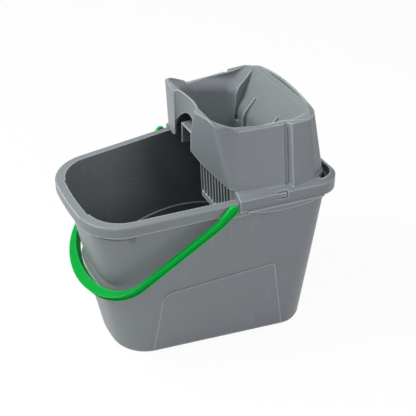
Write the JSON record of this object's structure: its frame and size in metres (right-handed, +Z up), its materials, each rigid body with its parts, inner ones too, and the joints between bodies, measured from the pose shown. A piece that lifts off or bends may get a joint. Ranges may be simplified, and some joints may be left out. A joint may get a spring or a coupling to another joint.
{
  "type": "mop bucket with wringer",
  "caption": "Oblong grey plastic mop bucket with a pouring spout, a swinging green bail handle and a lift-off press wringer with a slotted basket.",
  "frame": {"origin": "on the floor under the middle of the tub's base", "axes": "+Z up, +X towards the wringer at the rear, -X towards the pouring spout, +Y to the side that follows by the right hand"},
  "size_m": [0.3852, 0.287, 0.3975],
  "materials": {
    "grey_plastic": "satin moulded polypropylene",
    "green_plastic": "satin moulded polypropylene"
  },
  "bodies": {
    "bucket": {"bucket": "grey_plastic"},
    "handle": {"handle": "green_plastic"},
    "wringer": {"wringer_hood": "grey_plastic", "wringer_basket": "grey_plastic"}
  },
  "joints": [
    {"name": "handle_swing", "type": "hinge", "parent": "bucket", "child": "handle", "pos_m": [0.008, 0, 0.2745], "axis": [0, 1, 0], "range_deg": [0, 125]},
    {"name": "wringer_lift", "type": "slide", "parent": "bucket", "child": "wringer", "axis": [0, 0, 1], "range_m": [0, 0.07]}
  ]
}
